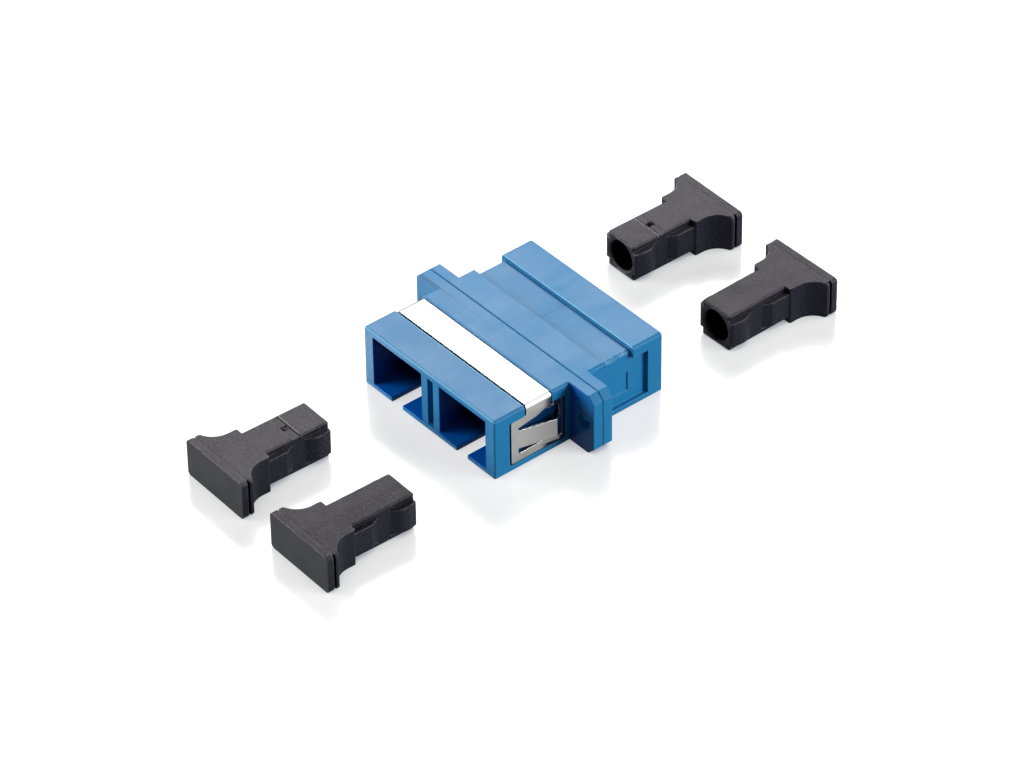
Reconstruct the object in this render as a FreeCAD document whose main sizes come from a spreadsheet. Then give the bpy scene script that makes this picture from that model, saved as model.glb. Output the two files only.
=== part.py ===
import FreeCAD, Part
import os
import re
import Sketcher

# Duplex fibre adapter with its panel clip and four dust plugs.
# X runs across the flange, Y along the ports, Z up. The origin is the middle of
# the two flange holes, on the flange face that a panel rests against. Millimetres.

Vector = FreeCAD.Vector
doc = FreeCAD.newDocument("DuplexAdapter")

SIZES = [
    ("body_width", 25.4, "across both ports"),
    ("body_height", 9.0, "flat bottom to flat top"),
    ("body_depth", 13.6, "one half, mouth to seam"),
    ("edge_round", 0.45, "long upper edges of the half housing"),
    ("mouth_round", 0.22, "outer edges round the mouth"),
    ("foot_round", 0.1, "lower edges of the half housing"),
    ("port_pitch", "=body_width / 2", "between the two port axes"),
    ("port_wall", 1.75, "wall beside a port"),
    ("port_width", "=port_pitch - 2 * port_wall", "port opening, across"),
    ("port_floor", 0.65, "wall under the port"),
    ("port_roof", 0.9, "wall over the port"),
    ("port_height", "=body_height - port_floor - port_roof", "port opening, upright"),
    ("port_gap", 1.1, "hollow between the two port walls"),
    ("port_gap_depth", 9.5, "how far that hollow goes in"),
    ("divider_setback", 0.25, "divider behind the mouth face"),
    ("key_width", 2.12, "keyway in the port floor"),
    ("key_length", 7.5, "keyway, from the mouth"),
    ("ear_reach", 4.5, "ear, from the side of the body"),
    ("flange_width", "=body_width + 2 * ear_reach", "over both ears"),
    ("flange_plate", 1.55, "flange thickness of one half"),
    ("flange_corner", 1.0, "cut corner of an ear"),
    ("flange_hole", 2.2, "screw hole, diameter"),
    ("hole_offset", 2.65, "side of the body to a screw hole"),
    ("hole_spacing", "=body_width + 2 * hole_offset", "between the screw holes"),
    ("ear_round", 0.15, "front edges of the ears"),
    ("seam_break", 0.12, "broken edge along the seam"),
    ("strap_start", 4.83, "mouth to the strap groove"),
    ("strap_groove", 4.42, "strap groove, along the port"),
    ("strap_ramp", 0.3, "slope at the flange side of the groove"),
    ("strap_sink", 0.5, "strap groove, depth"),
    ("strap_relief", 0.88, "bevel under the bend of the strap"),
    ("side_start", 2.37, "mouth to the side recess"),
    ("side_end", 2.18, "side recess to the seam"),
    ("side_sink", 0.6, "side recess, depth"),
    ("side_lip", 0.75, "lip under the side recess"),
    ("side_brow", 1.55, "wall over the side recess"),
    ("window_start", 5.2, "mouth to the shallow window"),
    ("window_low", 2.28, "window above the bottom"),
    ("window_tall", 2.87, "window, upright"),
    ("window_sink", 0.15, "window, depth"),
    ("insert_margin", 1.2, "rim of the housing beside a base plate"),
    ("insert_play", 0.05, "gap all round the base plate"),
    ("insert_width", "=port_pitch - 2 * insert_margin", "base plate of a latch insert, across"),
    ("insert_height", "=port_height - 2 * insert_play", "base plate of a latch insert, upright"),
    ("insert_base", 1.3, "base plate, thickness"),
    ("tube_outer", 4.1, "sleeve holder, outside diameter"),
    ("tube_reach", 6.3, "sleeve holder, from the seam"),
    ("tube_lip", 0.45, "rim that keeps the sleeve in"),
    ("ferrule_way", 2.9, "opening in that rim, diameter"),
    ("arm_reach", 6.8, "latch arms, from the seam"),
    ("arm_thick", 0.65, "latch arm, thickness"),
    ("arm_height", 3.2, "latch arm, upright"),
    ("arm_gap", 0.6, "latch arm to the port wall"),
    ("arm_inside", "=port_width / 2 - arm_gap - arm_thick", "port axis to the inside of an arm"),
    ("hook_bite", 0.85, "latch hook, inwards"),
    ("hook_land", 0.35, "flat of the hook"),
    ("hook_ramp", 0.75, "slope of the hook"),
    ("hook_round", 0.15, "edges of the hook end"),
    ("sleeve_bore", 2.5, "split sleeve, inside diameter"),
    ("sleeve_wall", 0.35, "split sleeve, wall"),
    ("sleeve_length", 11.4, "split sleeve, length"),
    ("sleeve_slit", 0.5, "slit along the sleeve"),
    ("sleeve_play", 0.05, "gap round the sleeve"),
    ("clip_sheet", 0.3, "steel thickness"),
    ("clip_gap", 0.05, "strap off the plastic"),
    ("leg_gap", 0.2, "leg off the floor of its recess"),
    ("strap_offset", 0.37, "groove wall to the strap"),
    ("strap_width", 4.0, "strap, along the port"),
    ("bend_inside", 0.35, "inside radius of the bends"),
    ("leg_front", 2.78, "mouth to the front of a leg"),
    ("leg_space", 0.37, "back of a leg to the end of its recess"),
    ("leg_back", "=body_depth - side_end - leg_space", "mouth to the back of a leg"),
    ("leg_low", 0.86, "leg above the bottom"),
    ("leg_shoulder", 1.64, "shoulders of the leg under the flat top"),
    ("leg_round", 0.3, "corners of a leg"),
    ("leg_column", 0.72, "strip of the leg behind its opening"),
    ("relief_width", 0.28, "notch in the leg behind the bend"),
    ("relief_low", 2.0, "bottom of that notch under the flat top"),
    ("slot_start", 3.88, "mouth to the opening in a leg"),
    ("slot_upper", 2.94, "front of the opening under the flat top"),
    ("slot_lower", 2.02, "opening above the bottom"),
    ("slot_brow", 2.45, "back of the opening under the flat top"),
    ("slot_round", 0.2, "corners of the opening"),
    ("neck_start", 6.83, "mouth to the rise under the neck"),
    ("neck_foot", 2.54, "start of that rise under the flat top"),
    ("neck_end", 8.13, "mouth to the crown under the neck"),
    ("neck_crown", 2.04, "crown under the flat top"),
    ("neck_back", 9.08, "mouth to the end of the crown"),
    ("neck_round", 0.6, "bends of that edge"),
    ("tongue_low", 2.44, "lower corner of the free end above the bottom"),
    ("tongue_rise", 0.4, "lower edge of the tongue rises to its root"),
    ("tongue_high", 3.39, "root of the tongue under the flat top"),
    ("tongue_trim", 0.46, "upper edge of the tongue drops to the free end"),
    ("tongue_end", 9.33, "mouth to the end bend of a tongue"),
    ("tongue_tip", 10.18, "mouth to the tip of a tongue"),
    ("tongue_flare", 0.95, "tongue stands out"),
    ("tongue_tuck", 0.27, "tip of the tongue bends back in"),
    ("plug_length", 15.65, "dust plug, over all"),
    ("plug_thick", 5.45, "dust plug, thickness"),
    ("head_width", 11.5, "head of the plug, across"),
    ("head_plate", 0.9, "front plate of the head"),
    ("head_line", 0.4, "groove behind that plate"),
    ("head_line_sink", 0.45, "depth of that groove at the sides"),
    ("head_line_face", 0.04, "depth of that groove on the faces"),
    ("head_round", 0.5, "corners of the head"),
    ("flare_radius", 3.04, "hollow flank of the head"),
    ("flare_end", 4.65, "head face to the collar"),
    ("collar_width", 6.9, "collar, across"),
    ("collar_end", 5.95, "head face to the end of the collar"),
    ("collar_round", 0.25, "corner of the collar"),
    ("shank_width", 5.05, "shank, across"),
    ("shank_round", 0.3, "long edges of the shank"),
    ("band_height", 3.55, "bands on the sides of the shank, upright"),
    ("pad_width", 6.4, "over the bands by the collar"),
    ("pad_end", 8.7, "head face to the end of that band"),
    ("pad_foot", 10.0, "head face to the end of its slope"),
    ("bump_start", 11.9, "head face to the latch bump"),
    ("bump_full", 13.3, "head face to the full width of the bump"),
    ("bump_back", 14.3, "head face to where the bump falls off"),
    ("bump_width", 6.6, "over the latch bumps"),
    ("bump_round", 1.6, "crest of the bump"),
    ("tip_width", 6.0, "over the bumps at the tip"),
    ("tip_bevel", 0.25, "bevel round the tip"),
    ("slit_sink", 0.3, "slits above and below the bands"),
    ("slit_tall", 0.28, "those slits, upright"),
    ("plug_bore", 4.3, "bore of the plug, diameter"),
    ("plug_bore_deep", 9.0, "bore of the plug, depth"),
    ("plug_mouth", 4.8, "mouth of the bore, diameter"),
    ("cross_start", 10.15, "head face to the groove across"),
    ("cross_width", 1.2, "groove across one face of the plug"),
    ("cross_sink", 0.12, "depth of that groove"),
    ("gate_mark", 0.7, "moulding mark, diameter"),
    ("gate_sink", 0.24, "moulding mark, depth"),
    ("front_left_across", -7.15, "front left plug, head face from the middle"),
    ("front_left_along", -40.05, "front left plug, head face along the ports"),
    ("front_left_angle", -1.7, "front left plug, degrees"),
    ("front_right_across", 10.4, "front right plug, head face from the middle"),
    ("front_right_along", -40.75, "front right plug, head face along the ports"),
    ("front_right_angle", -1.4, "front right plug, degrees"),
    ("rear_left_across", -8.5, "rear left plug, head face from the middle"),
    ("rear_left_along", 42.4, "rear left plug, head face along the ports"),
    ("rear_left_angle", 179.3, "rear left plug, degrees"),
    ("rear_right_across", 9.75, "rear right plug, head face from the middle"),
    ("rear_right_along", 42.05, "rear right plug, head face along the ports"),
    ("rear_right_angle", 180.9, "rear right plug, degrees"),
]

# The dust plugs by where they lie, and the roll in degrees that turns up the face
# with the groove across (0) or the plain one (180).
PLUGS = [
    ("front_left", "0"),
    ("front_right", "180"),
    ("rear_left", "0"),
    ("rear_right", "180"),
]

sheet = doc.addObject("Spreadsheet::Sheet", "Sizes")
for row, (alias, size, note) in enumerate(SIZES, start=1):
    sheet.set(f"A{row}", alias)
    sheet.set(f"B{row}", str(size))
    sheet.set(f"C{row}", note)
    sheet.setAlias(f"B{row}", alias)
doc.recompute()

ALIAS = re.compile(r"\b(" + "|".join(alias for alias, _, _ in SIZES) + r")\b")


def linked(text):
    """The expression with each size name pointing at the sheet."""
    return ALIAS.sub(r"Sizes.\1", text)


def value(text):
    """The number that an expression gives now."""
    return float(sheet.evalExpression(linked(text)))


def bind(thing, **sizes):
    """Ties properties of an object to expressions over the sizes."""
    for name, text in sizes.items():
        thing.setExpression(name, linked(text))


def origin_plane(body, role):
    return [item for item in body.Origin.OriginFeatures if item.Role == role][0]


def new_body(label):
    body = doc.addObject("PartDesign::Body", label)
    body.Label = label
    return body


def new_sketch(body, name, role, offset="0"):
    """A sketch on an origin plane, moved along that plane's normal."""
    sketch = body.newObject("Sketcher::SketchObject", name)
    sketch.AttachmentSupport = [(origin_plane(body, role), "")]
    sketch.MapMode = "FlatFace"
    sketch.setExpression("AttachmentOffset.Base.z", linked(offset))
    return sketch


def pin_point(sketch, geometry, place, point):
    """Fixes one sketch point by two expressions."""
    for axis, text in zip("XY", point):
        index = sketch.addConstraint(
            Sketcher.Constraint(f"Distance{axis}", -1, 1, geometry, place, value(text))
        )
        label = f"{axis.lower()}{geometry}"
        sketch.renameConstraint(index, label)
        sketch.setExpression(f"Constraints.{label}", linked(text))


def add_outline(sketch, points):
    """Adds a closed run of straight lines through points given as expressions."""
    first = sketch.GeometryCount
    count = len(points)
    spots = [Vector(value(x), value(y), 0) for x, y in points]
    for index in range(count):
        sketch.addGeometry(Part.LineSegment(spots[index], spots[(index + 1) % count]))
    for index in range(count):
        following = first + (index + 1) % count
        sketch.addConstraint(Sketcher.Constraint("Coincident", first + index, 2, following, 1))
    for index, point in enumerate(points):
        pin_point(sketch, first + index, 1, point)


def add_box(sketch, left, right, low, high):
    add_outline(sketch, [(left, low), (right, low), (right, high), (left, high)])


def add_circle(sketch, x, y, radius):
    """Adds a circle with its centre and radius given as expressions."""
    centre = Vector(value(x), value(y), 0)
    index = sketch.addGeometry(Part.Circle(centre, Vector(0, 0, 1), value(radius)))
    pin_point(sketch, index, 3, (x, y))
    size = sketch.addConstraint(Sketcher.Constraint("Radius", index, value(radius)))
    sketch.renameConstraint(size, f"r{index}")
    sketch.setExpression(f"Constraints.r{index}", linked(radius))


def pad(body, name, sketch, length, reversed_way=False, midplane=False):
    feature = body.newObject("PartDesign::Pad", name)
    feature.Profile = sketch
    bind(feature, Length=length)
    feature.Reversed = reversed_way
    feature.Midplane = midplane
    doc.recompute()
    return feature


def pocket(body, name, sketch, length=None, reversed_way=False, midplane=False):
    """Cuts a sketch out of the body, right through if it has no length."""
    before = body.Shape.Volume
    feature = body.newObject("PartDesign::Pocket", name)
    feature.Profile = sketch
    if length is None:
        feature.Type = "ThroughAll"
    else:
        bind(feature, Length=length)
    feature.Reversed = reversed_way
    feature.Midplane = midplane
    doc.recompute()
    if body.Shape.Volume >= before:
        raise RuntimeError(f"{body.Label}: {name} cuts nothing")
    return feature


def edges_where(shape, test):
    """Names of the edges whose box and middle pass a test."""
    names = []
    for index, edge in enumerate(shape.Edges, start=1):
        if test(edge.BoundBox, edge.CenterOfMass):
            names.append(f"Edge{index}")
    return names


def dress(body, kind, name, names, size):
    """A fillet or a chamfer on the named edges of the body's last feature."""
    base = body.Tip
    feature = body.newObject(f"PartDesign::{kind}", name)
    feature.Base = (base, names)
    if kind == "Fillet":
        bind(feature, Radius=size)
    else:
        bind(feature, Size=size)
    doc.recompute()
    return feature


def near(first, second):
    return abs(first - second) < 1e-4


# Half housing. Its frame has the seam at y = 0 and the port mouth at y = -body_depth,
# with the port axes at z = 0 of the middle of the body.

MOUTH = "body_depth"
TOP = "body_height / 2"
BOTTOM = "-body_height / 2"
PORT_LOW = "-body_height / 2 + port_floor"
PORT_HIGH = "-body_height / 2 + port_floor + port_height"
PORT_MIDDLE = "(-body_height / 2 + port_floor + port_height / 2)"


def along(distance):
    """The Y place of something given by its distance from the mouth."""
    return f"({distance}) - body_depth"


def half_housing(label):
    body = new_body(label)

    block = new_sketch(body, "block", "XZ_Plane")
    add_box(block, "-body_width / 2", "body_width / 2", BOTTOM, TOP)
    pad(body, "block_pad", block, "body_depth")
    depth, bottom = value("body_depth"), value(BOTTOM)
    crowns = edges_where(
        body.Shape,
        lambda box, middle: box.YLength > depth / 2 and middle.z > 0,
    )
    dress(body, "Fillet", "edge_rounds", crowns, "edge_round")
    rims = edges_where(
        body.Shape,
        lambda box, middle: near(middle.y, -depth) and not near(middle.z, bottom),
    )
    dress(body, "Fillet", "mouth_rounds", rims, "mouth_round")
    feet = edges_where(
        body.Shape,
        lambda box, middle: near(middle.z, bottom) and middle.y < -1e-3,
    )
    dress(body, "Fillet", "foot_rounds", feet, "foot_round")

    flange = new_sketch(body, "flange", "XZ_Plane")
    wide, inset = "flange_width / 2", "flange_width / 2 - flange_corner"
    tall, shoulder = "body_height / 2", "body_height / 2 - flange_corner"
    add_outline(flange, [
        (f"-({wide})", f"-({shoulder})"), (f"-({inset})", f"-({tall})"),
        (inset, f"-({tall})"), (wide, f"-({shoulder})"),
        (wide, shoulder), (inset, tall),
        (f"-({inset})", tall), (f"-({wide})", shoulder),
    ])
    pad(body, "flange_pad", flange, "flange_plate")
    seam = edges_where(body.Shape, lambda box, middle: near(middle.y, 0) and box.YLength < 1e-4)
    dress(body, "Chamfer", "seam_chamfer", seam, "seam_break")
    plate, hole_place = value("flange_plate"), value("hole_spacing / 2")
    ears = edges_where(
        body.Shape,
        lambda box, middle: near(middle.y, -plate)
        and box.YLength < 1e-4
        and abs(middle.x) > hole_place,
    )
    dress(body, "Fillet", "ear_rounds", ears, "ear_round")

    holes = new_sketch(body, "holes", "XZ_Plane", "flange_plate")
    for side in (-1, 1):
        add_circle(holes, f"{side} * hole_spacing / 2", "0", "flange_hole / 2")
    pocket(body, "holes_cut", holes)

    ports = new_sketch(body, "ports", "XZ_Plane", MOUTH)
    seats = new_sketch(body, "insert_seats", "XZ_Plane")
    keys = new_sketch(body, "keyways", "XY_Plane", BOTTOM)
    seat = "(insert_width / 2 + insert_play)"
    for side in (-1, 1):
        axis = f"{side} * port_pitch / 2"
        add_box(ports, f"{axis} - port_width / 2", f"{axis} + port_width / 2", PORT_LOW, PORT_HIGH)
        add_box(seats, f"{axis} - {seat}", f"{axis} + {seat}", PORT_LOW, PORT_HIGH)
        add_box(keys, f"{axis} - key_width / 2", f"{axis} + key_width / 2",
                "-body_depth - edge_round", along("key_length"))
    pocket(body, "ports_cut", ports)
    pocket(body, "insert_seats_cut", seats, "insert_base", reversed_way=True)
    pocket(body, "keyways_cut", keys, "port_floor + port_height / 2", reversed_way=True)

    gap = new_sketch(body, "divider_gap", "XZ_Plane", MOUTH)
    add_box(gap, "-port_gap / 2", "port_gap / 2", PORT_LOW, PORT_HIGH)
    pocket(body, "divider_gap_cut", gap, "port_gap_depth")
    setback = new_sketch(body, "divider_setback", "XZ_Plane", MOUTH)
    add_box(setback, "-port_wall", "port_wall", PORT_LOW, PORT_HIGH)
    pocket(body, "divider_setback_cut", setback, "divider_setback")

    groove = new_sketch(body, "strap_groove", "YZ_Plane")
    above = "body_height / 2 + strap_sink"
    add_outline(groove, [
        (along("strap_start"), f"{TOP} - strap_sink"),
        (along("strap_start + strap_groove"), f"{TOP} - strap_sink"),
        (along("strap_start + strap_groove + strap_ramp"), TOP),
        (along("strap_start + strap_groove + strap_ramp"), above),
        (along("strap_start"), above),
    ])
    pocket(body, "strap_groove_cut", groove, midplane=True)

    relief = new_sketch(body, "strap_relief", "XZ_Plane", f"-({along('strap_start')})")
    for side in (-1, 1):
        out, low = f"{side} * body_width / 2", "body_height / 2 - strap_sink"
        add_outline(relief, [
            (f"{side} * (body_width / 2 - strap_relief)", low),
            (f"{side} * (body_width / 2 + strap_relief)", low),
            (f"{side} * (body_width / 2 + strap_relief)", f"{low} - strap_relief"),
            (out, f"{low} - strap_relief"),
        ])
    pocket(body, "strap_relief_cut", relief, "strap_groove")

    recess_low = f"{BOTTOM} + side_lip"
    recess_high = f"{TOP} - side_brow"
    for side, name in ((-1, "left"), (1, "right")):
        reversed_way = side < 0
        face = f"{side} * body_width / 2"
        recess = new_sketch(body, f"{name}_recess", "YZ_Plane", face)
        add_outline(recess, [
            (along("side_start"), recess_low),
            ("-side_end", recess_low),
            ("-side_end", recess_high),
            (along("strap_start + strap_groove"), recess_high),
            (along("strap_start + strap_groove"), TOP),
            (along("strap_start"), TOP),
            (along("strap_start"), recess_high),
            (along("side_start"), recess_high),
        ])
        pocket(body, f"{name}_recess_cut", recess, "side_sink", reversed_way=reversed_way)
        window = new_sketch(body, f"{name}_window", "YZ_Plane", face)
        add_box(window, along("window_start"), "-side_end",
                f"{BOTTOM} + window_low", f"{BOTTOM} + window_low + window_tall")
        pocket(body, f"{name}_window_cut", window, "side_sink + window_sink",
               reversed_way=reversed_way)
    return body


def latch_insert(label):
    """Base plate, sleeve holder and two latch arms of one port, seam at y = 0."""
    body = new_body(label)
    base = new_sketch(body, "base", "XZ_Plane")
    add_box(base, "-insert_width / 2", "insert_width / 2", "-insert_height / 2", "insert_height / 2")
    pad(body, "base_pad", base, "insert_base")

    tube = new_sketch(body, "tube", "XZ_Plane")
    add_circle(tube, "0", "0", "tube_outer / 2")
    pad(body, "tube_pad", tube, "tube_reach")

    arms = new_sketch(body, "arms", "XY_Plane")
    hook_back = "-(arm_reach - hook_ramp - hook_land)"
    for side in (-1, 1):
        add_outline(arms, [
            (f"{side} * (arm_inside + arm_thick)", "-insert_base / 2"),
            (f"{side} * (arm_inside + arm_thick)", "-arm_reach"),
            (f"{side} * arm_inside", "-arm_reach"),
            (f"{side} * (arm_inside - hook_bite)", "-(arm_reach - hook_ramp)"),
            (f"{side} * (arm_inside - hook_bite)", hook_back),
            (f"{side} * arm_inside", hook_back),
            (f"{side} * arm_inside", "-insert_base / 2"),
        ])
    pad(body, "arms_pad", arms, "arm_height", midplane=True)
    reach = value("arm_reach")
    ends = edges_where(
        body.Shape,
        lambda box, middle: near(middle.y, -reach) and box.ZLength > value("arm_height") / 2,
    )
    dress(body, "Fillet", "hook_rounds", ends, "hook_round")

    bore = new_sketch(body, "sleeve_bore", "XZ_Plane")
    add_circle(bore, "0", "0", "sleeve_bore / 2 + sleeve_wall + sleeve_play")
    pocket(body, "sleeve_bore_cut", bore, "tube_reach - tube_lip", reversed_way=True)
    way = new_sketch(body, "ferrule_way", "XZ_Plane")
    add_circle(way, "0", "0", "ferrule_way / 2")
    pocket(body, "ferrule_way_cut", way, reversed_way=True)
    return body


def split_sleeve(label):
    """A thin tube with one slit along it, centred on the seam."""
    body = new_body(label)
    ring = new_sketch(body, "ring", "XZ_Plane")
    add_circle(ring, "0", "0", "sleeve_bore / 2 + sleeve_wall")
    add_circle(ring, "0", "0", "sleeve_bore / 2")
    pad(body, "ring_pad", ring, "sleeve_length", midplane=True)
    slit = new_sketch(body, "slit", "XZ_Plane")
    add_box(slit, "-sleeve_slit / 2", "sleeve_slit / 2", "0", "sleeve_bore")
    pocket(body, "slit_cut", slit, midplane=True)
    return body


# Panel clip: one strip of spring steel, folded over the front half and down its sides.

STRAP_BACK = along("strap_start + strap_offset + strap_width")
STRAP_LOW = "(body_height / 2 - strap_sink + clip_gap)"
LEG_IN = "(body_width / 2 - side_sink + leg_gap)"


def panel_clip(label):
    body = new_body(label)
    fold = new_sketch(body, "fold", "XZ_Plane", f"-({STRAP_BACK})")
    out, high = f"({LEG_IN} + clip_sheet)", f"({STRAP_LOW} + clip_sheet)"
    foot = f"{TOP} - leg_shoulder - clip_sheet"
    add_outline(fold, [
        (f"-{out}", foot), (f"-{out}", high), (out, high), (out, foot),
        (LEG_IN, foot), (LEG_IN, STRAP_LOW), (f"-{LEG_IN}", STRAP_LOW), (f"-{LEG_IN}", foot),
    ])
    pad(body, "fold_pad", fold, "strap_width")
    corners = (value(STRAP_LOW), value(high))
    for name, level, size in (
        ("inner_bends", corners[0], "bend_inside"),
        ("outer_bends", corners[1], "bend_inside + clip_sheet"),
    ):
        picked = edges_where(
            body.Shape,
            lambda box, middle, level=level: near(middle.z, level)
            and box.YLength > value("strap_width") / 2
            and box.XLength < 1e-4,
        )
        dress(body, "Fillet", name, picked, size)

    for side, name in ((-1, "left"), (1, "right")):
        clip_leg(body, side, name)
    return body


def clip_leg(body, side, name):
    """One side leg: a frame round an opening, and the tongue that stands out of it."""
    reversed_way = side < 0
    sheet_in = f"{side} * {LEG_IN}"
    low, shoulder = f"{BOTTOM} + leg_low", f"{TOP} - leg_shoulder"
    notch = f"{TOP} - relief_low"
    leg = new_sketch(body, f"{name}_leg", "YZ_Plane", sheet_in)
    add_outline(leg, [
        (along("leg_front"), low), (along("leg_back"), low), (along("leg_back"), shoulder),
        (f"{STRAP_BACK} + relief_width", shoulder), (f"{STRAP_BACK} + relief_width", notch),
        (STRAP_BACK, notch), (STRAP_BACK, shoulder), (along("leg_front"), shoulder),
    ])
    pad(body, f"{name}_leg_pad", leg, "clip_sheet", reversed_way=reversed_way)
    opening = new_sketch(body, f"{name}_opening", "YZ_Plane", sheet_in)
    add_outline(opening, [
        (along("slot_start"), f"{BOTTOM} + slot_lower"),
        (along("leg_back - leg_column"), f"{BOTTOM} + slot_lower"),
        (along("leg_back - leg_column"), f"{TOP} - slot_brow"),
        (along("neck_back"), f"{TOP} - slot_brow"),
        (along("neck_end"), f"{TOP} - neck_crown"),
        (along("neck_start"), f"{TOP} - neck_foot"),
        (along("slot_start"), f"{TOP} - slot_upper"),
    ])
    pocket(body, f"{name}_opening_cut", opening, "clip_sheet", reversed_way=not reversed_way)
    for fillet, corners, size in (
        ("corners", [("leg_front", low), ("leg_back", low), ("leg_back", shoulder),
                     ("leg_front", shoulder), ("strap_start + strap_offset", shoulder)],
         "leg_round"),
        ("slot_ends", [("slot_start", f"{BOTTOM} + slot_lower"),
                       ("leg_back - leg_column", f"{BOTTOM} + slot_lower"),
                       ("leg_back - leg_column", f"{TOP} - slot_brow")], "slot_round"),
        ("neck", [("neck_start", f"{TOP} - neck_foot"), ("neck_end", f"{TOP} - neck_crown"),
                  ("neck_back", f"{TOP} - slot_brow")], "neck_round"),
    ):
        spots = [(value(along(y)), value(z)) for y, z in corners]
        picked = edges_where(
            body.Shape,
            lambda box, middle, spots=spots: middle.x * side > 0
            and near(box.XLength, value("clip_sheet"))
            and any(near(middle.y, y) and near(middle.z, z) for y, z in spots),
        )
        dress(body, "Fillet", f"{name}_{fillet}", picked, size)

    tongue = new_sketch(body, f"{name}_tongue", "XY_Plane", f"{BOTTOM} + tongue_low")
    inner = [
        (LEG_IN, along("slot_start - clip_sheet")),
        (LEG_IN, along("slot_start")),
        (f"({LEG_IN} + tongue_flare)", along("tongue_end")),
        (f"({LEG_IN} + tongue_flare - tongue_tuck)", along("tongue_tip")),
    ]
    outer = [(f"({x} + clip_sheet)", y) for x, y in reversed(inner)]
    add_outline(tongue, [(f"{side} * {x}", y) for x, y in inner + outer])
    pad(body, f"{name}_tongue_pad", tongue, "body_height - tongue_high - tongue_low")
    taper = new_sketch(body, f"{name}_taper", "YZ_Plane", sheet_in)
    upper, lower = f"{TOP} - tongue_high", f"{BOTTOM} + tongue_low"
    beyond = along("tongue_tip + clip_sheet")
    add_outline(taper, [
        (along("slot_start"), upper), (beyond, upper), (beyond, f"{upper} - tongue_trim"),
    ])
    add_outline(taper, [
        (along("slot_start"), lower), (beyond, lower),
        (along("slot_start"), f"{lower} + tongue_rise"),
    ])
    pocket(body, f"{name}_taper_cut", taper, "tongue_flare + 2 * clip_sheet",
           reversed_way=not reversed_way)


# Dust plug. Its frame has the head face at y = 0, the tip at y = plug_length and the
# middle of its thickness at z = 0. One face carries the shallow groove across.

PLUG_TOP = "plug_thick / 2"


def mirrored(half):
    """The closed outline whose right half is given, from the head to the tip."""
    return half + [(f"-({x})", y) for x, y in reversed(half)]


def dust_plug(label):
    body = new_body(label)
    plan = new_sketch(body, "plan", "XY_Plane")
    add_outline(plan, mirrored([
        ("head_width / 2", "0"), ("head_width / 2", "flare_end"),
        ("collar_width / 2", "flare_end"), ("collar_width / 2", "collar_end"),
        ("shank_width / 2", "collar_end"), ("shank_width / 2", "plug_length"),
    ]))
    pad(body, "plan_pad", plan, "plug_thick", midplane=True)
    head_side = value("head_width / 2")
    corners = edges_where(
        body.Shape,
        lambda box, middle: near(abs(middle.x), head_side) and box.YLength > head_side / 2,
    )
    dress(body, "Fillet", "head_rounds", corners, "head_round")
    shank_side = value("shank_width / 2")
    long_edges = edges_where(
        body.Shape,
        lambda box, middle: near(abs(middle.x), shank_side) and box.YLength > shank_side,
    )
    dress(body, "Fillet", "shank_rounds", long_edges, "shank_round")

    flanks = new_sketch(body, "flanks", "XY_Plane")
    for side in (-1, 1):
        add_circle(flanks, f"{side} * (collar_width / 2 + flare_radius)", "flare_end", "flare_radius")
    pocket(body, "flanks_cut", flanks, midplane=True)
    spot = (value("collar_width / 2"), value("collar_end"))
    collar = edges_where(
        body.Shape,
        lambda box, middle: near(abs(middle.x), spot[0]) and near(middle.y, spot[1]),
    )
    dress(body, "Fillet", "collar_rounds", collar, "collar_round")

    band = new_sketch(body, "band", "XY_Plane")
    add_outline(band, mirrored([
        ("pad_width / 2", "flare_end"), ("pad_width / 2", "pad_end"),
        ("shank_width / 2", "pad_foot"), ("shank_width / 2", "bump_start"),
        ("bump_width / 2", "bump_full"), ("bump_width / 2", "bump_back"),
        ("tip_width / 2", "plug_length"),
    ]))
    pad(body, "band_pad", band, "band_height", midplane=True)
    crest, levels = value("bump_width / 2"), (value("bump_full"), value("bump_back"))
    crests = edges_where(
        body.Shape,
        lambda box, middle: near(abs(middle.x), crest)
        and any(near(middle.y, level) for level in levels),
    )
    dress(body, "Fillet", "bump_rounds", crests, "bump_round")
    tip = value("plug_length")
    ends = edges_where(body.Shape, lambda box, middle: near(middle.y, tip) and box.YLength < 1e-4)
    dress(body, "Chamfer", "tip_chamfer", ends, "tip_bevel")

    for name, start, end in (("pad", "collar_end", "pad_foot"), ("bump", "bump_start", "plug_length")):
        slits = new_sketch(body, f"{name}_slits", "XZ_Plane", f"-({start})")
        for across in (-1, 1):
            for up in (-1, 1):
                add_box(slits, f"{across} * (shank_width / 2 - slit_sink)",
                        f"{across} * bump_width / 2",
                        f"{up} * band_height / 2", f"{up} * (band_height / 2 + slit_tall)")
        pocket(body, f"{name}_slits_cut", slits, f"{end} - {start}")

    line = new_sketch(body, "head_line", "XZ_Plane", "-head_plate")
    add_box(line, "-head_width", "head_width", "-plug_thick", "plug_thick")
    add_box(line, "-(head_width / 2 - head_line_sink)", "head_width / 2 - head_line_sink",
            "-(plug_thick / 2 - head_line_face)", "plug_thick / 2 - head_line_face")
    pocket(body, "head_line_cut", line, "head_line")

    cross = new_sketch(body, "cross_groove", "XY_Plane", PLUG_TOP)
    add_box(cross, "-shank_width", "shank_width", "cross_start", "cross_start + cross_width")
    pocket(body, "cross_groove_cut", cross, "cross_sink")
    mark = new_sketch(body, "gate", "XY_Plane", PLUG_TOP)
    add_circle(mark, "0", "cross_start + cross_width / 2", "gate_mark / 2")
    pocket(body, "gate_cut", mark, "gate_sink")

    bore = new_sketch(body, "bore", "XZ_Plane", "-plug_length")
    add_circle(bore, "0", "0", "plug_bore / 2")
    pocket(body, "bore_cut", bore, "plug_bore_deep", reversed_way=True)
    mouth = edges_where(
        body.Shape,
        lambda box, middle: near(middle.y, tip) and near(box.XLength, value("plug_bore")),
    )
    dress(body, "Chamfer", "mouth_chamfer", mouth, "(plug_mouth - plug_bore) / 2")
    return body


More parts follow.
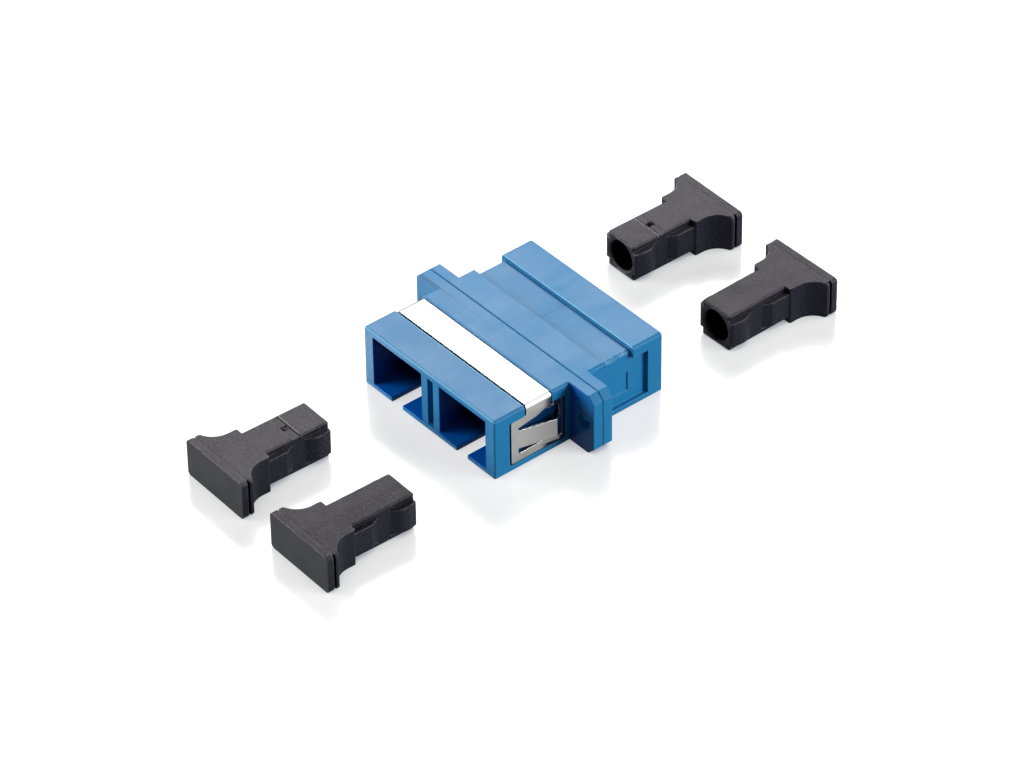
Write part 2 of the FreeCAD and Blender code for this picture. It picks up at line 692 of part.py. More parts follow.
def place(body, x="0", y="0", z="0", heading="0", roll="0"):
    """Places a body by expressions, turned about Z after a roll about its own Y."""
    body.Placement = FreeCAD.Placement(
        Vector(value(x), value(y), value(z)),
        FreeCAD.Rotation(value(heading), value(roll), 0),
    )
    bind(body, **{
        "Placement.Base.x": x,
        "Placement.Base.y": y,
        "Placement.Base.z": z,
    })


def build():
    place(half_housing("front_housing"), y="flange_plate")
    place(half_housing("rear_housing"), y="flange_plate", heading="180")
    for side, name in ((-1, "left"), (1, "right")):
        axis = f"{side} * port_pitch / 2"
        place(latch_insert(f"front_{name}_insert"), axis, "flange_plate", PORT_MIDDLE)
        place(latch_insert(f"rear_{name}_insert"), axis, "flange_plate", PORT_MIDDLE, "180")
        place(split_sleeve(f"{name}_sleeve"), axis, "flange_plate", PORT_MIDDLE)
    place(panel_clip("panel_clip"), y="flange_plate")
    for spot, roll in PLUGS:
        place(dust_plug(f"dust_plug_{spot}"), f"{spot}_across", f"{spot}_along",
              "(plug_thick - body_height) / 2", f"{spot}_angle", roll)
    doc.recompute()


def check_and_write():
    for item in doc.Objects:
        bad = [state for state in item.State if state in ("Invalid", "Error")]
        if bad:
            raise RuntimeError(f"{item.Label} is {bad}")
    os.makedirs("parts", exist_ok=True)
    for item in doc.Objects:
        if item.TypeId != "PartDesign::Body":
            continue
        shape = item.Shape
        if shape.isNull() or not shape.isValid():
            raise RuntimeError(f"{item.Label} has a bad shape")
        shape.exportStep(f"parts/{item.Label}.step")
        print(f"{item.Label}: {len(shape.Solids)} solid, {shape.Volume:.1f} mm3")


build()
check_and_write()
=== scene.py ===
"""Duplex fibre adapter with its four dust plugs taken off, on a white glossy table."""

import math

import bpy
from mathutils import Matrix, Vector

MM = 0.001

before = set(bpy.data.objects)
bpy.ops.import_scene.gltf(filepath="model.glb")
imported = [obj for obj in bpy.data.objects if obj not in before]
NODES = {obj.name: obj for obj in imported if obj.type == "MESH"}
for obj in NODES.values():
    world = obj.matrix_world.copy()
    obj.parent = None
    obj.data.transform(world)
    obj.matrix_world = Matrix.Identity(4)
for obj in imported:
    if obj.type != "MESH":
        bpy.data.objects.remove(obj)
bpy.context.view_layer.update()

# Places on the adapter, in millimetres. A reach is measured from the seam, both ways.
FLOOR_LEVEL = -4.5
SEAM = 1.55
FLANGE_FACE = 0.0
FLANGE_FOOT = -0.05
RAMP_FOOT = 5.75
GROOVE_FLOOR = 4.0
GROOVE_REACH = 6.6
STEP_REACH = 8.79
RIM_REACH = 8.80
MOUTH_REACH = 13.58
PORT_CENTRE = 6.35
PORT_HALF_WIDTH = 4.75
PORT_MIDDLE = -0.125
PORT_HALF_HEIGHT = 3.85
RECESS_MIDDLE = -0.4
RECESS_HALF_HEIGHT = 3.75
STRAP_GAP = -7.0
STRAP_FRONT = -6.85

# Places on a plug, in its own frame, and the level of its middle above the origin.
PLUG_LEVEL = -1.775
PLATE_BACK = 0.10
GATE_MARK = 10.7
CROSS_GROOVE = 11.24
CROSS_GROOVE_RIM = 11.42
BORE_RADIUS = 2.19
BORE_FLOOR = 6.0

# Blue plastic. All colours are linear.
DEEP_BLUE = (0.013, 0.206, 0.455, 1.0)
FULL_BLUE = (0.016, 0.226, 0.490, 1.0)
TOP_SHEEN_BLUE = (0.056, 0.225, 0.456, 1.0)
LEFT_SHADE_BLUE = (0.008, 0.12, 0.24, 1.0)
FROST_SHEEN_BLUE = (0.22, 0.38, 0.52, 1.0)
EDGE_HIGHLIGHT_BLUE = (0.14, 0.45, 0.76, 1.0)
LINE_AND_SHADE_BLUE = (0.006, 0.11, 0.27, 1.0)
FLOW_BLUE = (0.10, 0.40, 0.70, 1.0)
STEP_SHADE_BLUE = (0.004, 0.075, 0.20, 1.0)
RIM_HIGHLIGHT_BLUE = (0.24, 0.60, 0.92, 1.0)
SCUFF_BLUE = (0.20, 0.46, 0.70, 1.0)
EAR_SHEEN_GREY = (0.11, 0.20, 0.32, 1.0)
GAP_SHADOW_BLACK = (0.001, 0.004, 0.012, 1.0)
MOUTH_BLUE = (0.001, 0.100, 0.46, 1.0)
INNER_SHADE_BLUE = (0.0003, 0.004, 0.040, 1.0)
RECESS_SHADE_BLUE = (0.0006, 0.022, 0.12, 1.0)
EAR_SHADE_BLUE = (0.001, 0.07, 0.42, 1.0)
PORT_FLOOR_LIT_BLUE = (0.001, 0.16, 0.72, 1.0)
LATCH_BLUE = (0.001, 0.050, 0.26, 1.0)
LATCH_SHADE_BLUE = (0.0003, 0.003, 0.028, 1.0)

# Black plastic.
LIT_TOP_DARK = (0.002, 0.002, 0.003, 1.0)
LIT_TOP_PALE = (0.034, 0.031, 0.040, 1.0)
SHADED_SIDE_DARK = (0.0005, 0.0006, 0.004, 1.0)
SHADED_SIDE_PALE = (0.007, 0.008, 0.024, 1.0)
PLATE_DARK = (0.024, 0.025, 0.029, 1.0)
PLATE_PALE = (0.038, 0.039, 0.044, 1.0)
SPECK_GREY = (0.24, 0.23, 0.26, 1.0)
HALF_GREY = (0.07, 0.065, 0.075, 1.0)
TOP_SHEEN_DARK = (0.036, 0.033, 0.041, 1.0)
TOP_SHEEN_PALE = (0.112, 0.104, 0.118, 1.0)
WORN_HIGHLIGHT_GREY = (0.34, 0.33, 0.36, 1.0)
SHINE_GREY = (0.50, 0.49, 0.51, 1.0)
MARK_AND_SHADE_BLACK = (0.0005, 0.0005, 0.001, 1.0)
BORE_SHADE_BLACK = (0.0005, 0.0005, 0.0008, 1.0)

# Steel and ceramic.
STEEL_DARK = (0.70, 0.69, 0.67, 1.0)
STEEL_PALE = (0.78, 0.77, 0.75, 1.0)
STRAP_EDGE_SHADE = (0.02, 0.02, 0.03, 1.0)
STEEL_FAR_SHADE = (0.20, 0.18, 0.16, 1.0)
STEEL_SHADED = (0.22, 0.225, 0.24, 1.0)
STEEL_DEEP_SHADE = (0.008, 0.012, 0.022, 1.0)
STEEL_EDGE_HIGHLIGHT = (0.96, 0.95, 0.93, 1.0)
CERAMIC_DARK = (0.70, 0.67, 0.60, 1.0)
CERAMIC_PALE = (0.78, 0.76, 0.70, 1.0)

# Table, with its painted contact shade and painted pool of light, and how strongly it glows, mirrors
# and throws light back.
WHITE = (1.0, 1.0, 1.0, 1.0)
TABLE_WHITE = (0.82, 0.82, 0.82, 1.0)
TABLE_CONTACT_SHADE = (0.34, 0.35, 0.40, 1.0)
TABLE_DIM = (0.16, 0.16, 0.16, 1.0)
GLOW_CONTACT_SHADE = (0.42, 0.43, 0.48, 1.0)
GLOW_LEVEL = 1.39
GLOW_SHARE = 0.5
MIRROR_SHARE = 0.05
BOUNCE_SHARE = 0.58
LIGHT_POOL_LEVEL = 5.5

# Each plug's place across and along, its turns, how strong the painted sheen on its top is and how
# strong its specks are.
PLUGS = {
    "dust_plug_front_left": (-7.15, -40.05, -1.7, 0.0, 0.60, 0.9),
    "dust_plug_front_right": (10.4, -40.75, -1.4, 180.0, 0.0, 0.5),
    "dust_plug_rear_left": (-8.5, 42.4, 179.3, 0.0, 0.58, 0.7),
    "dust_plug_rear_right": (9.75, 42.05, 180.9, 180.0, 0.30, 0.45),
}


class Recipe:
    """One material and its node tree, filled by short calls. Masks run from 0 to 1."""

    def __init__(self, name):
        self.material = bpy.data.materials.new(name)
        self.material.use_nodes = True
        self.tree = self.material.node_tree
        self.tree.nodes.clear()
        self.output = self.tree.nodes.new("ShaderNodeOutputMaterial")

    def node(self, kind, **settings):
        made = self.tree.nodes.new("ShaderNode" + kind)
        for name, setting in settings.items():
            setattr(made, name, setting)
        return made

    def feed(self, socket, source):
        """Links a socket to a source, or writes a plain number or colour on it."""
        if isinstance(source, bpy.types.NodeSocket):
            self.tree.links.new(source, socket)
        else:
            socket.default_value = source

    def math(self, operation, first, second=0.0):
        made = self.node("Math", operation=operation)
        self.feed(made.inputs[0], first)
        self.feed(made.inputs[1], second)
        return made.outputs[0]

    def times(self, *factors):
        """The product. Of masks, it is where every one of them holds."""
        result = factors[0]
        for factor in factors[1:]:
            result = self.math("MULTIPLY", result, factor)
        return result

    def span(self, source, low, high, out_low=0.0, out_high=1.0):
        """Carries a value from one span to another, held at the ends."""
        made = self.node("MapRange", clamp=True)
        self.feed(made.inputs["Value"], source)
        made.inputs["From Min"].default_value = low
        made.inputs["From Max"].default_value = high
        made.inputs["To Min"].default_value = out_low
        made.inputs["To Max"].default_value = out_high
        return made.outputs["Result"]

    def line(self, source, centre, half, soft=None):
        """One within a band round a place, falling to nothing at its sides."""
        away = self.math("ABSOLUTE", self.math("SUBTRACT", source, centre))
        return self.span(away, half, half - (soft or half))

    def blend(self, share, first, second):
        """Mixes two colours."""
        made = self.node("Mix", data_type="RGBA")
        self.feed(made.inputs["Factor"], share)
        self.feed(made.inputs[6], first)
        self.feed(made.inputs[7], second)
        return made.outputs[2]

    def over(self, colour, tint, *masks):
        """Lays a tint over a colour where every one of these masks holds."""
        return self.blend(self.times(*masks), colour, tint)

    def place(self):
        return self.node("TexCoord").outputs["Object"]

    def measure(self, vector=None):
        """Notes the place on the surface, in millimetres."""
        scaled = self.node("VectorMath", operation="SCALE")
        self.feed(scaled.inputs[0], vector or self.place())
        scaled.inputs["Scale"].default_value = 1.0 / MM
        made = self.node("SeparateXYZ")
        self.feed(made.inputs[0], scaled.outputs["Vector"])
        self.x = made.outputs["X"]
        self.y = made.outputs["Y"]
        self.z = made.outputs["Z"]

    def facing(self, axis):
        """How far the surface faces along an axis."""
        made = self.node("SeparateXYZ")
        self.feed(made.inputs[0], self.node("NewGeometry").outputs["Normal"])
        return made.outputs[axis]

    def stretched(self, scale):
        made = self.node("Mapping")
        self.feed(made.inputs["Vector"], self.place())
        made.inputs["Scale"].default_value = scale
        return made.outputs["Vector"]

    def noise(self, scale, detail=2.0, rough=0.5, vector=None, distortion=0.0):
        """Cloudy noise with so many spots to a metre."""
        made = self.node("TexNoise")
        self.feed(made.inputs["Vector"], vector or self.place())
        made.inputs["Scale"].default_value = scale
        made.inputs["Detail"].default_value = detail
        made.inputs["Roughness"].default_value = rough
        made.inputs["Distortion"].default_value = distortion
        return made.outputs["Fac"]

    def edges(self, radius):
        """The softened normal, and how near the surface is to a sharp edge."""
        soft = self.node("Bevel", samples=6)
        soft.inputs["Radius"].default_value = radius * MM
        flat = self.node("NewGeometry")
        turned = self.node("VectorMath", operation="DOT_PRODUCT")
        self.feed(turned.inputs[0], soft.outputs["Normal"])
        self.feed(turned.inputs[1], flat.outputs["Normal"])
        return soft.outputs["Normal"], self.span(turned.outputs["Value"], 0.999, 0.8)

    def bump(self, height, strength, distance, normal):
        made = self.node("Bump")
        self.feed(made.inputs["Height"], height)
        self.feed(made.inputs["Strength"], strength)
        self.feed(made.inputs["Normal"], normal)
        made.inputs["Distance"].default_value = distance * MM
        return made.outputs["Normal"]

    def diffuse(self, colour):
        made = self.node("BsdfDiffuse")
        self.feed(made.inputs["Color"], colour)
        return made.outputs[0]

    def emitter(self, colour, strength):
        made = self.node("Emission")
        self.feed(made.inputs["Color"], colour)
        self.feed(made.inputs["Strength"], strength)
        return made.outputs[0]

    def mix(self, share, first, second):
        """Mixes two shaders."""
        made = self.node("MixShader")
        self.feed(made.inputs["Fac"], share)
        self.feed(made.inputs[1], first)
        self.feed(made.inputs[2], second)
        return made.outputs[0]

    def surface(self, **sockets):
        """Ends the tree in a Principled shader with these sockets."""
        shader = self.node("BsdfPrincipled")
        for name, source in sockets.items():
            self.feed(shader.inputs[name.replace("_", " ")], source)
        self.feed(self.output.inputs["Surface"], shader.outputs[0])
        return self.material


def painted_top_sheen(look, colour):
    """A painted sheen on the flat top, most of all on the block before the strap."""
    flat = look.times(look.span(look.facing("Z"), 0.7, 0.95), look.span(look.z, 3.0, 3.6))
    return look.over(colour, TOP_SHEEN_BLUE, flat, look.span(look.y, -7.5, 1.0, 0.85, 0.25))


def frost_and_sheen_mouth(look, colour):
    """The front frame is darker towards its left end as painted shade, and speckled with pale frost
    that grows there into a painted sheen.
    """
    face = look.times(look.span(look.facing("Y"), -0.7, -0.95), look.span(look.y, -11.7, -11.9))
    speckle = look.span(look.noise(4200.0), 0.42, 0.68)
    colour = look.over(colour, LEFT_SHADE_BLUE, face, look.span(look.x, -9.5, -12.0, 0.0, 0.42))
    return look.over(colour, FROST_SHEEN_BLUE, face, speckle, look.span(look.x, -8.0, -13.0, 0.18, 0.42))


def lined_top(look, colour):
    """The witness line over the middle, the foot of the flange, painted shade at the foot of the
    ramp, and faint flow marks.
    """
    top = look.span(look.z, 3.6, 3.9)
    witness = look.times(look.line(look.x, 0.0, 0.13), look.span(look.y, 5.5, 6.2, 0.25, 0.7))
    # Painted shade at the foot of the ramp.
    ramp_foot_shade = look.times(look.line(look.y, RAMP_FOOT, 0.18, 0.05), 0.8)
    flange_foot = look.times(look.line(look.y, FLANGE_FOOT, 0.13), look.span(look.x, 0.0, -10.0))
    lines = look.math("MAXIMUM", look.math("MAXIMUM", witness, ramp_foot_shade), flange_foot)
    colour = look.over(colour, LINE_AND_SHADE_BLUE, lines, top)
    swirl = look.noise(420.0, vector=look.stretched((0.35, 1.0, 1.0)), distortion=1.5)
    return look.over(colour, FLOW_BLUE, look.line(swirl, 0.57, 0.012), top, 0.10)


def rims_light_and_shade(look, colour, aside, reach):
    """Painted shade on the step walls, painted highlights on the rims and the mouth's top edge,
    scuffed bevels at the grooves, a painted sheen on the left ear's front, and a painted shadow in
    the gap before the strap.
    """
    step = look.times(look.line(reach, STEP_REACH, 0.06, 0.02), look.span(look.z, 4.02, 4.12))
    rim = look.times(look.line(reach, RIM_REACH, 0.10, 0.04), look.span(look.z, 4.34, 4.38))
    mouth = look.times(look.line(reach, MOUTH_REACH, 0.12, 0.05), look.span(look.z, 4.2, 4.3))
    bevel = look.times(
        look.line(reach, GROOVE_REACH, 2.25, 0.2),
        look.line(look.z, 3.8, 0.5, 0.1),
        look.span(aside, 11.5, 11.9),
    )
    scuffs = look.span(look.noise(2200.0, detail=3.0), 0.42, 0.62, 0.0, 0.6)
    left_ear_sheen = look.times(look.span(look.x, -12.8, -12.9), look.line(look.y, FLANGE_FACE, 0.1, 0.02))
    gap = look.times(
        look.line(look.y, STRAP_GAP, 0.21, 0.03),
        look.line(look.z, GROOVE_FLOOR, 0.2, 0.05),
    )
    # Painted shade on the step walls.
    colour = look.over(colour, STEP_SHADE_BLUE, step, 0.5)
    # Painted highlights on the rim and the mouth's top edge.
    colour = look.over(colour, RIM_HIGHLIGHT_BLUE, rim, 0.8)
    colour = look.over(colour, RIM_HIGHLIGHT_BLUE, mouth, 0.55)
    colour = look.over(colour, SCUFF_BLUE, bevel, scuffs)
    # Painted sheen on the left ear's front.
    colour = look.over(colour, EAR_SHEEN_GREY, left_ear_sheen, 0.4)
    # Painted shadow in the gap before the strap.
    return look.over(colour, GAP_SHADOW_BLACK, gap)


def shaded_hollows(look, colour, aside, reach, depth):
    """Painted shade: the ports darken inwards, and the recess and the right ear are dim. The port
    floor gets a lighter blue as painted light.
    """
    within = look.times(
        look.line(aside, PORT_CENTRE, PORT_HALF_WIDTH, 0.04),
        look.line(look.z, PORT_MIDDLE, PORT_HALF_HEIGHT, 0.04),
    )
    beside = look.times(
        look.span(aside, 12.3, 12.2),
        look.span(aside, 11.5, 11.6),
        look.span(look.y, -9.8, -9.6),
        look.span(look.y, 0.1, -0.1),
        look.line(look.z, RECESS_MIDDLE, RECESS_HALF_HEIGHT, 0.1),
    )
    right_ear = look.times(
        look.span(look.x, 12.6, 12.8),
        look.span(look.x, 17.0, 13.5, 0.35, 0.85),
        look.line(look.y, FLANGE_FACE, 0.1, 0.02),
    )
    sole = look.times(
        within,
        look.span(look.z, -3.80, -3.84),
        look.span(reach, 9.0, 11.5, 0.2, 1.0),
    )
    # Painted shade in the ports, the recess beside the clip and the right ear's front.
    colour = look.over(colour, look.blend(depth, MOUTH_BLUE, INNER_SHADE_BLUE), within, 0.93)
    colour = look.over(colour, RECESS_SHADE_BLUE, beside, 0.9)
    colour = look.over(colour, EAR_SHADE_BLUE, right_ear)
    # Painted light: a lighter blue on the port floor, strongest near the mouth.
    return look.over(colour, PORT_FLOOR_LIT_BLUE, sole, 0.8)


def moulded_blue(name, inside=False):
    """Satin blue plastic with flow marks and witness lines, painted highlights on its edges, tops
    and rims, and painted shade in its ports, hollows and gaps.
    """
    look = Recipe(name)
    look.measure()
    aside = look.math("ABSOLUTE", look.x)
    reach = look.math("ABSOLUTE", look.math("SUBTRACT", look.y, SEAM))
    depth = look.span(reach, 13.3, 9.6)
    cloudy = look.noise(170.0, detail=3.0, rough=0.55)
    streaks = look.noise(900.0, vector=look.stretched((1.0, 0.12, 1.0)))
    grain = look.noise(9000.0, detail=1.0)
    normal, edge = look.edges(0.15)
    if inside:
        # Painted shade: the latch insert darkens from its mouth inwards.
        colour = look.blend(depth, LATCH_BLUE, LATCH_SHADE_BLUE)
    else:
        colour = look.blend(look.span(cloudy, 0.35, 0.65), DEEP_BLUE, FULL_BLUE)
        colour = painted_top_sheen(look, colour)
        colour = frost_and_sheen_mouth(look, colour)
        # Painted highlight along the sharp edges.
        colour = look.over(colour, EDGE_HIGHLIGHT_BLUE, edge, 0.75)
        colour = lined_top(look, colour)
        colour = rims_light_and_shade(look, colour, aside, reach)
        colour = shaded_hollows(look, colour, aside, reach, depth)
    cloudy_gloss = look.span(cloudy, 0.3, 0.7, 0.30, 0.40)
    streaky_gloss = look.span(streaks, 0.3, 0.7, -0.02, 0.02)
    height = look.math("ADD", look.times(grain, 0.35), look.times(streaks, 0.65))
    return look.surface(
        Base_Color=colour,
        Roughness=look.math("ADD", cloudy_gloss, streaky_gloss),
        IOR=1.5,
        Specular_IOR_Level=0.155,
        Normal=look.bump(height, 0.25, 0.02, normal),
    )


def own_frame(look, across, along, heading, roll):
    """A plug's own frame: y runs from the head to the tip, and z points at the grooved face."""
    own = look.node("Mapping", vector_type="TEXTURE")
    look.feed(own.inputs["Vector"], look.place())
    own.inputs["Location"].default_value = (across * MM, along * MM, PLUG_LEVEL * MM)
    own.inputs["Rotation"].default_value = (0.0, math.radians(roll), math.radians(heading))
    return own.outputs["Vector"]


def moulded_black(name, across, along, heading, roll, pale, dots):
    """Charcoal plastic with a spark-eroded grain, pale specks, worn edges, painted light and shade
    on its faces and edges, and painted shade in its slit and bore.
    """
    look = Recipe(name)
    look.measure(own_frame(look, across, along, heading, roll))
    upright = look.facing("Z")
    upward = look.span(upright, 0.2, 0.8)
    plate = look.span(look.y, PLATE_BACK, 0.04)
    grooved = look.span(look.z, 2.3, 2.4)
    grain = look.noise(3800.0, detail=4.0, rough=0.75)
    grainy = look.span(grain, 0.36, 0.64)
    cloudy = look.noise(420.0, detail=3.0)
    normal, edge = look.edges(0.2)

    # Painted light and shade: faces turned up get a paler black than the sides.
    sides = look.blend(grainy, SHADED_SIDE_DARK, SHADED_SIDE_PALE)
    colour = look.blend(upward, sides, look.blend(grainy, LIT_TOP_DARK, LIT_TOP_PALE))
    plate_colour = look.blend(look.span(cloudy, 0.3, 0.7), PLATE_DARK, PLATE_PALE)
    colour = look.over(colour, plate_colour, plate)
    specks = look.times(
        look.span(look.noise(6500.0, detail=1.0), 0.62, 0.70),
        look.span(plate, 0.0, 1.0, dots, dots * 0.2),
        look.span(upward, 0.0, 1.0, 0.35, 1.0),
    )
    colour = look.over(colour, SPECK_GREY, specks)
    colour = look.over(colour, HALF_GREY, look.span(look.x, 0.15, 0.25), upward, 0.22)
    # Painted sheen on the top, stronger on some plugs than on others.
    colour = look.over(colour, look.blend(grainy, TOP_SHEEN_DARK, TOP_SHEEN_PALE), upward, pale)
    # Wear on the edges, which is also a painted highlight, strongest on edges that face up.
    worn_and_highlit = look.times(
        edge,
        look.span(look.noise(1900.0), 0.32, 0.58, 0.1, 1.0),
        look.span(upright, 0.1, 0.6, 0.25, 0.9),
    )
    colour = look.over(colour, WORN_HIGHLIGHT_GREY, worn_and_highlit)

    shine = look.span(look.noise(1100.0), 0.38, 0.60, 0.2, 0.8)
    slit = look.times(look.line(look.y, CROSS_GROOVE, 0.13), grooved)
    gate = look.times(
        look.line(look.y, GATE_MARK, 0.6, 0.15),
        look.line(look.x, 0.1, 0.5, 0.15),
        look.span(look.noise(1700.0), 0.42, 0.48),
        grooved,
    )
    rim = look.line(look.y, CROSS_GROOVE_RIM, 0.08)
    colour = look.over(colour, SHINE_GREY, rim, grooved, shine)
    # Painted shade in the cross groove's slit, and the gate mark, which is the plug's own dark mark.
    colour = look.over(colour, MARK_AND_SHADE_BLACK, slit)
    colour = look.over(colour, MARK_AND_SHADE_BLACK, gate)
    # Painted shade inside the bore.
    squares = look.math("ADD", look.times(look.x, look.x), look.times(look.z, look.z))
    bore = look.span(look.math("SQRT", squares), BORE_RADIUS + 0.03, BORE_RADIUS - 0.03)
    colour = look.over(colour, BORE_SHADE_BLACK, bore, look.span(look.y, BORE_FLOOR, BORE_FLOOR + 0.4))

    cloudy_gloss = look.span(cloudy, 0.3, 0.7, 0.42, 0.52)
    grainy_gloss = look.span(grain, 0.3, 0.7, -0.08, 0.08)
    pits = look.times(look.math("MAXIMUM", gate, slit), 0.5)
    return look.surface(
        Base_Color=colour,
        Roughness=look.math("ADD", look.math("ADD", cloudy_gloss, grainy_gloss), pits),
        IOR=1.5,
        Specular_IOR_Level=0.25,
        Specular_Tint=(0.98, 0.95, 1.0, 1.0),
        Normal=look.bump(grain, look.span(plate, 0.0, 1.0, 0.9, 0.15), 0.07, normal),
    )


def spring_steel(name):
    """Rolled stainless strip, bright, with a faint satin grain along the strip, painted highlights
    on its edges and painted shade on its legs, far end and hollows.
    """
    look = Recipe(name)
    look.measure()
    rolled = look.noise(9000.0, vector=look.stretched((0.10, 1.0, 0.10)))
    cloudy = look.noise(300.0)
    normal, edge = look.edges(0.05)
    brink_shade = look.times(look.line(look.y, STRAP_FRONT, 0.06, 0.02), look.span(look.z, 3.9, 4.0))
    leg = look.span(look.z, 3.2, 2.6)
    fading = look.times(leg, look.span(look.y, -7.5, -2.0, 0.05, 0.6))
    low = look.times(leg, look.span(look.z, -1.0, -3.5, 0.0, 0.35))
    slanted = look.math("ADD", look.z, look.times(look.math("ADD", look.y, 4.5), 0.16))
    hidden = look.times(look.span(slanted, -2.98, -3.1), look.span(look.y, -4.6, -3.5))
    hook = look.times(look.span(look.y, -1.7, -1.6), look.span(look.z, -2.9, -3.1))
    colour = look.blend(look.span(cloudy, 0.3, 0.7), STEEL_DARK, STEEL_PALE)
    # Painted shade along the strap's front edge.
    colour = look.over(colour, STRAP_EDGE_SHADE, brink_shade)
    # Painted shade on the strap's far left end.
    colour = look.over(colour, STEEL_FAR_SHADE, look.span(look.x, -12.45, -12.6), 0.6)
    colour = look.over(colour, STEEL_SHADED, look.math("MAXIMUM", fading, low))
    # Painted shadow beside the tongue's free end and below the hook.
    colour = look.over(colour, STEEL_DEEP_SHADE, look.math("MAXIMUM", hidden, hook))
    # Painted highlight along the sharp edges.
    colour = look.over(colour, STEEL_EDGE_HIGHLIGHT, edge, 0.8)
    return look.surface(
        Base_Color=colour,
        Metallic=1.0,
        Roughness=look.math("ADD", look.span(rolled, 0.3, 0.7, 0.13, 0.19), look.times(edge, 0.05)),
        Normal=normal,
    )


def sleeve_ceramic(name):
    """Ivory ceramic, ground smooth."""
    look = Recipe(name)
    cloudy = look.noise(600.0)
    rings = look.noise(3000.0, detail=1.0, vector=look.stretched((0.1, 1.0, 0.1)))
    return look.surface(
        Base_Color=look.blend(look.span(cloudy, 0.3, 0.7), CERAMIC_DARK, CERAMIC_PALE),
        Roughness=look.span(rings, 0.3, 0.7, 0.18, 0.26),
        IOR=2.1,
    )


def glossy_table(name):
    """White table: plain white to the camera, with the shadow, a painted contact shade and a faint
    reflection, and a painted pool of light at the front left that only mirrored rays see.
    """
    look = Recipe(name)
    look.measure()
    path = look.node("LightPath")
    # Painted contact shade on the table, darkest where objects close in on it.
    corner = look.node("AmbientOcclusion", samples=12)
    corner.inputs["Distance"].default_value = 4.0 * MM
    shut = look.span(corner.outputs["AO"], 0.18, 0.78, 1.0, 0.0)
    clear = look.math("SUBTRACT", 1.0, look.times(shut, shut))
    lit = look.diffuse(look.blend(clear, TABLE_CONTACT_SHADE, TABLE_WHITE))
    glow = look.emitter(look.blend(clear, GLOW_CONTACT_SHADE, WHITE), GLOW_LEVEL)
    body = look.mix(GLOW_SHARE, lit, glow)
    mirror = look.node("BsdfGlossy")
    mirror.inputs["Roughness"].default_value = 0.16
    coated = look.mix(MIRROR_SHARE, body, mirror.outputs[0])
    # A painted pool of light on the table at the front left, seen only in reflections.
    light_pool = look.times(look.span(look.x, -8.0, -17.0), look.line(look.y, -17.0, 14.0, 8.0))
    pooled = look.node("AddShader")
    look.feed(pooled.inputs[0], body)
    look.feed(pooled.inputs[1], look.emitter(WHITE, look.times(light_pool, LIGHT_POOL_LEVEL)))
    mirrored = look.times(path.outputs["Is Glossy Ray"], BOUNCE_SHARE)
    bounce = look.mix(mirrored, look.diffuse(TABLE_DIM), pooled.outputs[0])
    seen = look.mix(path.outputs["Is Camera Ray"], bounce, coated)
    look.feed(look.output.inputs["Surface"], seen)
    return look.material


def lights_only(lamp, name, things):
    """Keeps a lamp to some of the objects."""
    group = bpy.data.collections.new(name)
    for thing in things:
        group.objects.link(thing)
    lamp.light_linking.receiver_collection = group


def softbox(name, azimuth, elevation, distance, width, height, radiance):
    """A square soft light that faces the adapter. Azimuth 0 stands before the ports."""
    turn = math.radians(azimuth)
    rise = math.radians(elevation)
    flat = math.cos(rise)
    way = Vector((math.sin(turn) * flat, -math.cos(turn) * flat, math.sin(rise)))
    lamp = bpy.data.lights.new(name, "AREA")
    lamp.shape = "RECTANGLE"
    lamp.size = width
    lamp.size_y = height
    lamp.energy = radiance * math.pi * width * height
    thing = bpy.data.objects.new(name, lamp)
    bpy.context.scene.collection.objects.link(thing)
    thing.rotation_mode = "QUATERNION"
    thing.rotation_quaternion = way.to_track_quat("Z", "Y")
    thing.location = way * distance
    return thing


blue = moulded_blue("Moulded_blue_plastic")
insert_blue = moulded_blue("Latch_insert_plastic", inside=True)
steel = spring_steel("Spring_steel")
ceramic = sleeve_ceramic("Sleeve_ceramic")
blacks = {}
for name, spot in PLUGS.items():
    blacks[name] = moulded_black("Black_plastic_" + name.removeprefix("dust_plug_"), *spot)


def finish_for(name):
    if name in blacks:
        return blacks[name]
    if name.endswith("insert"):
        return insert_blue
    if name.endswith("sleeve"):
        return ceramic
    if name == "panel_clip":
        return steel
    return blue


for name, thing in NODES.items():
    thing.data.materials.clear()
    thing.data.materials.append(finish_for(name))

bpy.ops.object.select_all(action="DESELECT")
bpy.ops.mesh.primitive_plane_add(size=3.0, location=(0.0, 0.0, FLOOR_LEVEL * MM))
table = bpy.context.active_object
table.name = "Table_top"
table.data.materials.append(glossy_table("White_table"))

# A white room: dim for the light it casts, brighter where it is mirrored.
ROOM_CAST = 0.09
ROOM_MIRRORED = 0.32
world = bpy.data.worlds.new("White_room")
bpy.context.scene.world = world
world.use_nodes = True
room = world.node_tree.nodes["Background"]
room.inputs["Color"].default_value = WHITE
ray = world.node_tree.nodes.new("ShaderNodeLightPath")
level = world.node_tree.nodes.new("ShaderNodeMapRange")
level.inputs["To Min"].default_value = ROOM_CAST
level.inputs["To Max"].default_value = ROOM_MIRRORED
world.node_tree.links.new(ray.outputs["Is Glossy Ray"], level.inputs["Value"])
world.node_tree.links.new(level.outputs["Result"], room.inputs["Strength"])

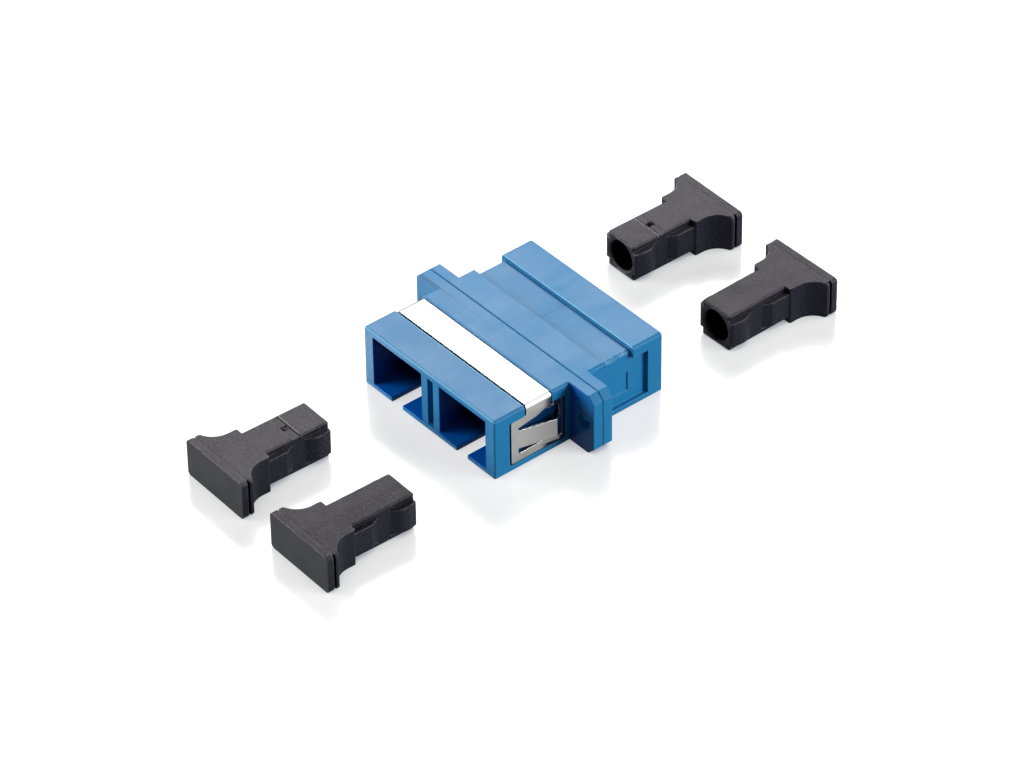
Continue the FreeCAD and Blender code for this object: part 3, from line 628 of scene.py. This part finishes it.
# Each light's azimuth and elevation in degrees, and its distance in metres.
FROM_BEHIND = (230.6, 41.0, 0.7)
FROM_BESIDE = (150.0, 50.0, 0.7)
FROM_FRONT_LEFT = (-42.0, 14.0, 0.8)
FROM_RIGHT = (125.0, 18.0, 0.8)

# The light from behind is a box for the plastics and a softer card for the steel.
clip = NODES["panel_clip"]
plastics = [thing for thing in NODES.values() if thing is not clip]
satin = softbox("Back_softbox", *FROM_BEHIND, width=0.32, height=0.26, radiance=11.5)
lights_only(satin, "Plastic_and_table", plastics + [table])
bright = softbox("Back_card", *FROM_BEHIND, width=0.5, height=0.4, radiance=2.0)
lights_only(bright, "Steel", [clip])
beside_steel = softbox("Side_card", *FROM_BESIDE, width=0.7, height=0.45, radiance=0.95)
lights_only(beside_steel, "Steel_side", [clip])
softbox("Front_left_softbox", *FROM_FRONT_LEFT, width=0.5, height=0.38, radiance=12.3)
softbox("Right_softbox", *FROM_RIGHT, width=0.5, height=0.38, radiance=10.3)

VIEW_AZIMUTH = math.radians(50.575)
VIEW_ELEVATION = math.radians(38.844)
VIEW_ROLL = math.radians(-0.808)
VIEW_DISTANCE = 700.03 * MM
AIM = Vector((-0.344, 1.565, -4.5)) * MM

back = Vector((
    math.sin(VIEW_AZIMUTH) * math.cos(VIEW_ELEVATION),
    -math.cos(VIEW_AZIMUTH) * math.cos(VIEW_ELEVATION),
    math.sin(VIEW_ELEVATION),
))
right = Vector((math.cos(VIEW_AZIMUTH), math.sin(VIEW_AZIMUTH), 0.0))
upward = back.cross(right)
turned = Matrix((right, upward, back)).transposed() @ Matrix.Rotation(VIEW_ROLL, 3, "Z")

lens = bpy.data.cameras.new("Studio_camera")
lens.sensor_width = 36.0
lens.lens = 196.3
lens.clip_start = 0.01
lens.clip_end = 20.0
camera = bpy.data.objects.new("Studio_camera", lens)
bpy.context.scene.collection.objects.link(camera)
camera.matrix_world = Matrix.Translation(AIM + back * VIEW_DISTANCE) @ turned.to_4x4()
bpy.context.scene.camera = camera
bpy.context.scene.view_settings.view_transform = "Standard"
